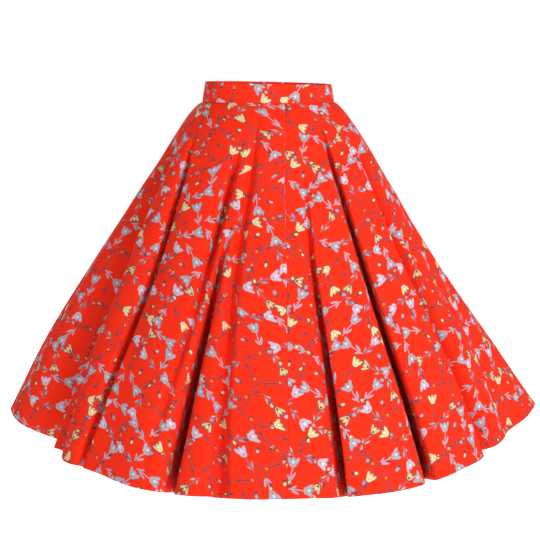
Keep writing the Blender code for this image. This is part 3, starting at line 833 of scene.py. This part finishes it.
def panelCloth(order):
    # the outer face of each panel, and where its points lie on the flat cut quarter
    names = [*seamRows, *seamRows][order : order + 2]
    begin, end = [seamColumns[name] for name in names]
    if end <= begin:
        end += columnCount
    picked = np.arange(begin, end + 1)
    radius = clothRadius[:, None]
    along = alongCloth[:, picked % columnCount] + (picked >= columnCount) * fullTurn * radius
    along = np.where(along < along[:, :1] - 1e-6, along + fullTurn * radius, along)
    points = surface[:, picked % columnCount].copy()
    out, around = surfaceOut[:, picked % columnCount], surfaceAround[:, picked % columnCount]
    dips = np.zeros(points.shape[:2])
    for edge, step, seam in ((0, 1, names[0]), (-1, -1, names[1])):
        zipped = (rowsDown <= zipper["length"]) & (seam == "back")
        dips[:, edge] = np.where(zipped, 0, skirt["seamGroove"])
        dips[:, edge + step] = 0.25 * dips[:, edge]
        shift = step * np.where(zipped, zipper["slit"] / 2, -skirt["seamLap"])
        points[:, edge] += around[:, edge] * shift[:, None]
    dips[hemLine] += skirt["hemGroove"]
    dips += waistDip(rowsDown)[:, None]
    dips[0] = skirt["waistTopDip"]
    points = points - out * dips[:, :, None]
    points[0, :, 2] += skirt["waistLap"]
    turn = (along - along[:, :1]) / radius + skirt["cutTurn"] * order
    flat = np.stack([radius * np.cos(turn) + skirt["cutShift"] * order, radius * np.sin(turn)], axis=-1)
    return points, out, flat


panelPieces = {
    "hemBehind": 0.0009,
    "hemPrintShift": 0.4,  # on the flat cloth, so that the print doesn't meet
    "hemStitch": 0.0027,
    "hemStitchGap": 0.0009,
    "hemStitchProud": 0.00005,
    "allowanceSteps": (0.0, 0.0042, 0.0084, 0.012),  # across it from the seam
    "allowanceStart": 0.003,  # below the waist seam
    "allowanceOverZip": 0.004,  # how far it laps over the zip's foot
    "allowanceEnd": 0.011,  # above the hem
    "allowanceThick": 0.0006,
    "allowanceBehind": 0.0001,
    "allowancePrintShift": 3.1,
    "thread": 0.00022,
}

stitchRings = ((0.12, 0.8, 0.3), (0.5, 1.0, 0.75), (0.88, 0.8, 0.3))  # share of its length, thickness, lift


def addStitches(name, paths):
    # thread stitches: each one a thin spindle from one point to another, raised by its own way out
    points, faces, thick = [], [], panelPieces["thread"]
    for start, end, out in paths:
        along = end - start
        side = unit(np.cross(out, along))
        base = len(points)
        points.append(start - out * thick * 0.8)
        for share, size, lift in stitchRings:
            middle = start + along * share + out * thick * lift
            for angle in np.arange(6) * math.pi / 3:
                points.append(middle + thick * size * (math.cos(angle) * side + math.sin(angle) * out))
        points.append(end - out * thick * 0.8)
        faces += joinRings(base + 1, base + 7, 6) + joinRings(base + 7, base + 13, 6)
        for k in range(6):
            after = (k + 1) % 6
            faces += [(base, base + 1 + after, base + 1 + k), (base + 13 + k, base + 13 + after, base + 19)]
    return addPiece(name, points, faces, [redThread])


def stitchesAlong(line, outs, length, gap):
    walked = walkRound(line)
    paths, at = [], gap
    while at + length < walked[-1]:
        start, end = pointsAt(line, walked, np.array([at, at + length]))
        paths.append((start, end, unit(pointsAt(outs, walked, at + length / 2))))
        at += length + gap
    return paths


def makeAllowance(order, node, points, out, edge, label):
    # a seam allowance pressed open on the wrong side of its panel
    seam = [*seamRows, *seamRows][order - edge]
    top = panelPieces["allowanceStart"]
    if seam == "back":
        top = zipper["length"] - panelPieces["allowanceOverZip"]
    keep = (rowsDown > top) & (rowsDown < skirt["length"] - panelPieces["allowanceEnd"])
    inside = points[keep] - out[keep] * (skirt["cloth"] + panelPieces["allowanceBehind"])
    steps = np.array(panelPieces["allowanceSteps"])
    inside = inside[:, ::-1] if edge else inside
    strip = np.array([pointsAt(row, walkRound(row), steps) for row in inside])
    strip = strip if edge else strip[:, ::-1]
    flat = np.stack(np.meshgrid(steps, rowsDown[keep]), axis=-1) + panelPieces["allowancePrintShift"] + order
    name = f"seamAllowance_{label}_{node}"
    piece = addCloth(name, strip, flat, [wrongSide], panelPieces["allowanceThick"], turnedOver=True)
    return piece


def makePanels():
    for order, node in enumerate(panelNodes):
        points, out, flat = panelCloth(order)
        name = "cloth_" + node
        piece = addCloth(name, points, flat, [rightSide, wrongSide], skirt["cloth"], backSlot=1)
        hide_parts(node)

        turnedUp = rowsDown >= skirt["length"] - skirt["hemDepth"] - skirt["cloth"]
        behind = points[turnedUp] - out[turnedUp] * panelPieces["hemBehind"]
        hemFlat = flat[turnedUp] + panelPieces["hemPrintShift"]
        hem = addCloth("hem_" + node, behind, hemFlat, [rightSide, wrongSide], skirt["cloth"])

        line = points[hemLine] + out[hemLine] * panelPieces["hemStitchProud"]
        paths = stitchesAlong(line, out[hemLine], panelPieces["hemStitch"], panelPieces["hemStitchGap"])
        stitches = addStitches("hemStitches_" + node, paths)

        for edge, label in ((0, "first"), (-1, "last")):
            makeAllowance(order, node, points, out, edge, label)


# ---- waistband
band = {
    "height": 0.033,
    "wall": 0.002,
    "proud": 0.001,
    "taper": 0.0055,
    "tilt": 0.0025,
    "edge": 0.0012,
    "puff": 0.00045,
    "waves": ((0.5, 9, 0.6), (0.3, 23, 2.0), (0.2, 41, 0)),  # size, times round and start, in the puff
    "wrinkle": 0.00022,
    "allowanceUps": (0.27, 0.14, 0.03),
    "allowanceDips": (skirt["waistGroove"], 0.0004, 0.0001),  # behind the first rows of the panels
    "allowanceBehind": 0.0003,
    "allowanceFromZip": 0.0115,
    "steps": 420,
    "printStart": (9.2, 0.02),  # on the flat cloth
    "backPrintStart": -0.03,
    "allowancePrintStart": 12.4,
}


def bandPoint(angle, up, inward):
    wide, deep = outlineSize(0)
    shrink = band["proud"] - band["taper"] * up - inward
    lift = band["height"] * up - band["tilt"] * up * math.sin(angle)
    return np.array([(wide + shrink) * math.sin(angle), -(deep + shrink) * math.cos(angle), lift])


backAngle = angleAt(seamRows["back"], 0)


def makeWaistAllowance():
    # the raw edges of the waist seam, turned up inside the band all round but for the zip
    wide, deep = outlineSize(0)
    back = seamColumns["back"]
    order = np.roll(np.arange(columnCount), -back)
    fromBack = np.linalg.norm(surface[0][order] - surface[0][back], axis=1)
    order = order[fromBack > band["allowanceFromZip"]]
    angles = np.arctan2(surface[0][order, 0] / wide, -surface[0][order, 1] / deep)
    behind = band["allowanceBehind"]
    grid = [[bandPoint(angle, up, band["wall"] + behind) for angle in angles] for up in band["allowanceUps"]]
    for row, dip in enumerate(band["allowanceDips"], start=1):
        grid.append(surface[row][order] - surfaceOut[row][order] * (skirt["cloth"] + behind + dip))
    grid = np.array(grid, dtype=float)
    down = np.concatenate([[0], np.cumsum(np.linalg.norm(np.diff(grid, axis=0), axis=2).mean(axis=1))])
    flat = np.stack(np.meshgrid(walkRound(grid[0]), down), axis=-1) + band["allowancePrintStart"]
    strip = addCloth("waistSeamAllowance", grid, flat, [wrongSide], panelPieces["allowanceThick"])
    return strip


def makeWaistband():
    edge = band["edge"] / band["height"]
    ups = [edge * (1 - math.cos(t)) for t in np.linspace(0, math.pi / 2, 4)]
    ups += [*np.linspace(edge, 1 - edge, 12)[1:-1], *[1 - up for up in ups[::-1]]]

    def rounding(up):
        near = min(1.0, up / edge, (1 - up) / edge)
        return band["edge"] * (1 - math.sqrt(max(0.0, 1 - (1 - near) ** 2)))

    wide, deep = outlineSize(0)
    halfSlit = zipper["slit"] / 2 / math.hypot(wide * math.cos(backAngle), deep * math.sin(backAngle))
    angles = np.linspace(backAngle + halfSlit, backAngle + fullTurn - halfSlit, band["steps"] + 1)
    walked = walkRound(np.array([bandPoint(angle, 0.5, 0) for angle in angles]))
    startAlong, startUp = band["printStart"]
    points, flat = [], []
    for angle, along in zip(angles, startAlong + walked):
        soft = sum(size * math.sin(times * angle + start) for size, times, start in band["waves"])
        wrinkled = band["wrinkle"] * (0.5 + 0.5 * math.sin(5 * angle))
        for up in ups:
            arch = math.sin(math.pi * up)
            puff = band["puff"] * arch**0.7 * (1 + 0.5 * soft)
            wrinkle = wrinkled * math.sin(61 * angle + 3 * up) * arch**2
            points.append(bandPoint(angle, up, rounding(up) - puff - wrinkle))
            flat.append((along, up * band["height"] + startUp))
        for up in ups[::-1]:
            points.append(bandPoint(angle, up, band["wall"] - rounding(up)))
            flat.append((along, band["backPrintStart"] - up * band["height"]))
    n = 2 * len(ups)
    last = n * band["steps"]
    faces = []
    for start in range(0, last, n):
        for k in range(n):
            here, after = start + k, start + (k + 1) % n
            faces.append((here, here + n, after + n, after))
    faces += [tuple(range(n)), tuple(range(last, last + n))[::-1]]
    piece = addPiece("cloth_waistband", points, faces, [rightSide, wrongSide], flatCloth=flat)
    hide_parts("waistband")
    allowance = makeWaistAllowance()


# ---- zip in the back seam
zipper = {
    "length": 0.155,  # below the waist seam
    "slit": 0.0016,
    "topGap": 0.001,
    "probe": 0.002,  # how far to either side a slope is measured
    "levelsAtSeam": (0.002, 0.0004, -0.0008, -0.0022),  # rows of the tapes round the waist seam
    "rowsFromSeam": 0.004,  # where the rest begin, above and below it
    "tapeRows": (9, 44),
    "tapeBehind": 0.0005,
    "tapeGap": 0.0006,
    "tapeWidth": 0.010,
    "tape": 0.0007,
    "tooth": 0.0014,  # from one tooth to the next
    "toothHalf": (0.00125, 0.0008, 0.00052),  # across, out and down
    "toothShift": 0.0002,
    "toothBehind": 0.0010,
    "toothSquareness": 0.6,
    "stitchRun": (0.004, 0.002),  # from below the waist seam to above the foot
    "stitchOff": 0.0062,
    "stitchProud": 0.00008,
    "stitch": (0.0026, 0.0009),  # length and gap
    "footStitch": (0.0022, 0.0007),
    "sliderWidth": 0.006,
    "sliderFoot": 0.0046,
    "sliderLength": 0.009,
    "sliderWall": 0.0016,
    "sliderRound": 0.0012,
    "sliderOff": 0.00045,
    "archWire": 0.00048,
    "archSide": ((0.00185, -0.0003), (0.00185, 0.0016), (0.0015, 0.0026), (0.0008, 0.00305)),  # up and out
    "archTop": 0.00315,
    "hingeOff": 0.0014,
    "pullWidth": 0.0062,
    "pullTaper": 0.86,
    "pullRound": 0.0022,
    "pullLength": 0.022,
    "pullWall": 0.0011,
    "pullBar": 0.00055,
    "pullEyeWidth": 0.0034,
    "pullEyeLength": 0.0030,
    "pullEyeRound": 0.0005,
    "pullRest": 6.5,  # degrees that it leans out by
    "gripWidths": (0.52, 0.62),  # against the tab
    "gripEnds": (-0.0078, -0.0192),
    "gripRound": 0.0014,
    "gripProud": 0.00022,
    "gripSunk": 0.0002,
    # width and steps of the rounded edges
    "softCoil": (0.00012, 1),
    "softSlider": (0.0004, 3),
    "softPull": (0.00022, 2),
    "softGrip": (0.00018, 2),
}


def backCentre(belowSeam):
    # where the middle of the back seam is on one section
    ring, walked = section(belowSeam)
    at = placeAt(angleAt(seamRows["back"], belowSeam / skirt["length"]), walked)
    return at, pointsAt(ring, walked, at)


def backSurface(belowSeam, beside, inward):
    # a point behind or on the back seam, from its distance down, sideways and inward
    ring, walked = section(belowSeam)
    at, centre = backCentre(belowSeam)
    along = walkRound(ring[:, :2])
    here = np.interp(at, walked, along) + beside
    left, spot, right = pointsAt(ring, along, here + zipper["probe"] * np.array([-1, 0, 1]))
    across = unit(right - left)
    out = unit(np.cross(backCentre(belowSeam + 2 * zipper["probe"])[1] - centre, across))
    return spot - out * inward, out, across


def zipPlace(up, beside, inward):
    # up is the distance above the waist seam, less than nothing on the skirt
    if up < 0:
        return backSurface(-up, beside, inward + skirt["cloth"] + waistDip(up))
    turn = 1 / np.linalg.norm(bandPoint(backAngle + 0.5, 0, 0) - bandPoint(backAngle - 0.5, 0, 0))
    angle, share = backAngle + beside * turn, up / band["height"]
    here = bandPoint(angle, share, band["wall"] + inward)
    across = unit(bandPoint(angle + 0.01, share, 0) - bandPoint(angle - 0.01, share, 0))
    down = bandPoint(angle, share - 0.1, 0) - bandPoint(angle, share + 0.1, 0)
    return here, unit(np.cross(down, across)), across


def makeTapes():
    top, near, (above, under) = band["height"] - zipper["topGap"], zipper["rowsFromSeam"], zipper["tapeRows"]
    levels = [*np.linspace(top, near, above), *zipper["levelsAtSeam"]]
    levels += [*np.linspace(-near, -zipper["length"], under)]
    for side, name in ((-1, "zipTapeLeft"), (1, "zipTapeRight")):
        besides = np.linspace(zipper["tapeGap"], zipper["tapeWidth"], 7)[::side] * side
        grid = np.array([[zipPlace(up, x, zipper["tapeBehind"])[0] for x in besides] for up in levels])
        flat = np.array([[(x, up) for x in besides] for up in levels])
        tape = addCloth(name, grid, flat, [redTape], zipper["tape"])
        if side < 0:
            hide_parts("zip")


def makeCoil():
    # teeth that reach across from both sides in turn
    points, faces = [], []
    halfAcross, halfOut, halfDown = zipper["toothHalf"]
    squareness = zipper["toothSquareness"]
    top = band["height"] - zipper["topGap"]
    for i in range(int((top + zipper["length"]) / zipper["tooth"])):
        shift = zipper["toothShift"] * (1 if i % 2 else -1)
        middle, out, across = zipPlace(top - zipper["tooth"] * (i + 0.5), shift, zipper["toothBehind"])
        down = np.cross(across, out)
        base = len(points)
        for z in (-halfDown, halfDown):
            for angle in (np.arange(8) + 0.5) * math.pi / 4:
                x, y = [np.sign(v) * abs(v) ** squareness for v in (math.cos(angle), math.sin(angle))]
                points.append(middle + across * halfAcross * x + out * halfOut * y + down * z)
        faces += [tuple(range(base, base + 8))[::-1], tuple(range(base + 8, base + 16))]
        faces += joinRings(base, base + 8, 8)
    coil = addHard("zipCoil", points, faces, redCoil, zipper["softCoil"], sharp=35)


def makeZipStitches():
    # a row of stitches down each tape, and one across their foot
    top, up = zipper["stitchRun"]
    off, foot = zipper["stitchOff"], zipper["length"] - up
    rows = [[(depth, side * off) for depth in np.linspace(top, foot, 60)] for side in (-1, 1)]
    rows.append([(foot, x) for x in np.linspace(-off, off, 9)])
    paths = []
    for row, (length, gap) in zip(rows, (zipper["stitch"], zipper["stitch"], zipper["footStitch"])):
        spots, outs, _ = map(np.array, zip(*[backSurface(depth, x, 0) for depth, x in row]))
        paths += stitchesAlong(spots + outs * zipper["stitchProud"], outs, length, gap)
    addStitches("zipStitches", paths)


def sliderPlace():
    # the middle of the slider's front on the band, with x across, y out of the band and z up
    share = 1 - (zipper["topGap"] + zipper["sliderLength"] / 2) / band["height"]
    here = bandPoint(backAngle, share, 0)
    across = unit(bandPoint(backAngle - 0.05, share, 0) - bandPoint(backAngle + 0.05, share, 0))
    out = unit(np.cross(bandPoint(backAngle, 1, 0) - bandPoint(backAngle, 0, 0), across))
    place = np.eye(4)
    front = here + out * (zipper["sliderOff"] + zipper["sliderWall"])
    place[:3] = np.column_stack([across, out, np.cross(across, out), front])
    return Matrix(place.tolist())


def plate(outline, front, back, place, hole=None):
    # a flat plate from an outline of x and z, with or without a hole that has as many points
    n = len(outline)
    rings = [outline, hole] if hole else [outline]
    points = [place @ Vector((x, y, z)) for y in (front, back) for ring in rings for x, z in ring]
    m = n * len(rings)
    faces = joinRings(0, m, n)
    if hole:
        faces += joinRings(n, m + n, n) + joinRings(0, n, n) + joinRings(m, m + n, n)
    else:
        faces += [tuple(range(n)), tuple(range(m, m + n))]
    return points, faces


def roundedOutline(halfTop, halfBottom, top, bottom, roundness, steps=8):
    points = []
    for k, (side, up) in enumerate(((1, 1), (-1, 1), (-1, -1), (1, -1))):
        half, level = (halfTop, top) if up > 0 else (halfBottom, bottom)
        for turn in np.radians(90 * k + np.linspace(0, 90, steps)):
            x = side * (half - roundness) + roundness * math.cos(turn)
            points.append((x, level - up * roundness + roundness * math.sin(turn)))
    return points


def makeSlider():
    place = sliderPlace()
    half = zipper["sliderLength"] / 2
    halfTop, halfFoot = zipper["sliderWidth"] / 2, zipper["sliderFoot"] / 2
    outline = roundedOutline(halfTop, halfFoot, half, -half, zipper["sliderRound"])
    shape = plate(outline, 0, -zipper["sliderWall"], place)
    body = addHard("zipSliderBody", *shape, zipMetal, zipper["softSlider"])
    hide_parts("zip_slider")
    # the arch that holds the pull tab
    arch = bpy.data.curves.new("zipSliderArch", "CURVE")
    arch.dimensions, arch.bevel_depth, arch.bevel_resolution = "3D", zipper["archWire"], 3
    arch.use_fill_caps = True
    line = arch.splines.new("POLY")
    side = zipper["archSide"]
    spots = [(-z, y) for z, y in side] + [(0, zipper["archTop"])] + list(side[::-1])
    line.points.add(len(spots) - 1)
    for point, (z, y) in zip(line.points, spots):
        point.co = (*(place @ Vector((0, y, z))), 1)
    arch.materials.append(zipMetal)
    loop = addObject("zipSliderArch", arch)
    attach(loop, "skirt")


def makePull():
    tip = Matrix.Rotation(math.radians(-zipper["pullRest"]), 4, "X")
    place = sliderPlace() @ Matrix.Translation((0, zipper["hingeOff"], 0)) @ tip
    half, rim, eyeHalf = zipper["pullWidth"] / 2, zipper["pullBar"], zipper["pullEyeWidth"] / 2
    front = zipper["pullWall"] / 2
    halfTop = half * zipper["pullTaper"]
    outer = roundedOutline(halfTop, half, rim, rim - zipper["pullLength"], zipper["pullRound"])
    eye = roundedOutline(eyeHalf, eyeHalf, -rim, -rim - zipper["pullEyeLength"], zipper["pullEyeRound"])
    shape = plate(outer, front, -front, place, eye)
    tab = addHard("zipPullTab", *shape, zipMetal, zipper["softPull"], body="pull")
    # a raised ridge for the fingers
    halves = [half * share for share in zipper["gripWidths"]]
    ridge = roundedOutline(*halves, *zipper["gripEnds"], zipper["gripRound"])
    shape = plate(ridge, front + zipper["gripProud"], front - zipper["gripSunk"], place)
    grip = addHard("zipPullGrip", *shape, zipMetal, zipper["softGrip"], body="pull")
    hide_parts("zip_pull")


makeWaistband()
makePanels()
print("cloth made")
makeTapes()
makeCoil()
makeZipStitches()
makeSlider()
makePull()
print("zip made")


# ---- floor, light and camera
studio = {
    "floor": -1.02,
    "floorColour": (0.93, 0.93, 0.93),
    "floorGlow": 0.70,
    "floorSize": 14.0,
    "roomSeen": 1.0,
    "world": 0.33,
    "cameraPlace": (0.0032, -2.300, 0.090),
    "cameraPitch": -9.883,
    "lens": 83.893,
    # place, aim, size and power of each
    "lamps": {
        "keyLamp": ((2.2, -2.8, 1.45), (0, 0, -0.3), 1.3, 97),
        "fillLamp": ((-0.7, -3.5, 0.5), (0, 0, -0.35), 2.2, 15),
        "backLamp": ((-1.4, 3.2, 1.4), (0, 0, -0.3), 1.8, 62),
    },
}


def makeStage():
    size, z = studio["floorSize"], studio["floor"]
    mesh = bpy.data.meshes.new("floor")
    corners = [(x * size, y * size, z) for x, y in ((-1, -1), (1, -1), (1, 1), (-1, 1))]
    mesh.from_pydata(corners, [], [(0, 1, 2, 3)])
    made, _, shader = newMaterial("paleFloor")
    looks = {"Base Color": studio["floorColour"], "Roughness": 0.9, "Specular IOR Level": 0.1}
    feed(shader.inputs, {**looks, "Emission Color": (1, 1, 1), "Emission Strength": studio["floorGlow"]})
    mesh.materials.append(made)
    addObject("floor", mesh)


def makeWorld():
    # a white room: bright to look at, dimmer as a light so that the folds keep their shade
    world = bpy.data.worlds.new("studioRoom")
    world.use_nodes = True
    seen = addNode("LightPath", {}, world.node_tree).outputs["Is Camera Ray"]
    level = maths("MULTIPLY_ADD", seen, studio["roomSeen"] - studio["world"], studio["world"])
    feed(world.node_tree.nodes["Background"].inputs, {"Color": (1, 1, 1), "Strength": level})
    bpy.context.scene.world = world


def makeLamps():
    for name, (place, aim, size, power) in studio["lamps"].items():
        lamp = bpy.data.lights.new(name, "AREA")
        lamp.shape, lamp.size, lamp.energy = "DISK", size, power
        holder = addObject(name, lamp)
        holder.location = place
        holder.rotation_euler = (Vector(aim) - Vector(place)).to_track_quat("-Z", "Y").to_euler()


def makeCamera():
    lens = bpy.data.cameras.new("camera")
    lens.lens, lens.sensor_width = studio["lens"], 36
    holder = addObject("camera", lens)
    holder.location = studio["cameraPlace"]
    holder.rotation_euler = (math.radians(90 + studio["cameraPitch"]), 0, 0)
    bpy.context.scene.camera = holder


makeStage()
makeLamps()
makeCamera()
makeWorld()
bpy.context.scene.view_settings.view_transform = "Standard"
print("studio made")
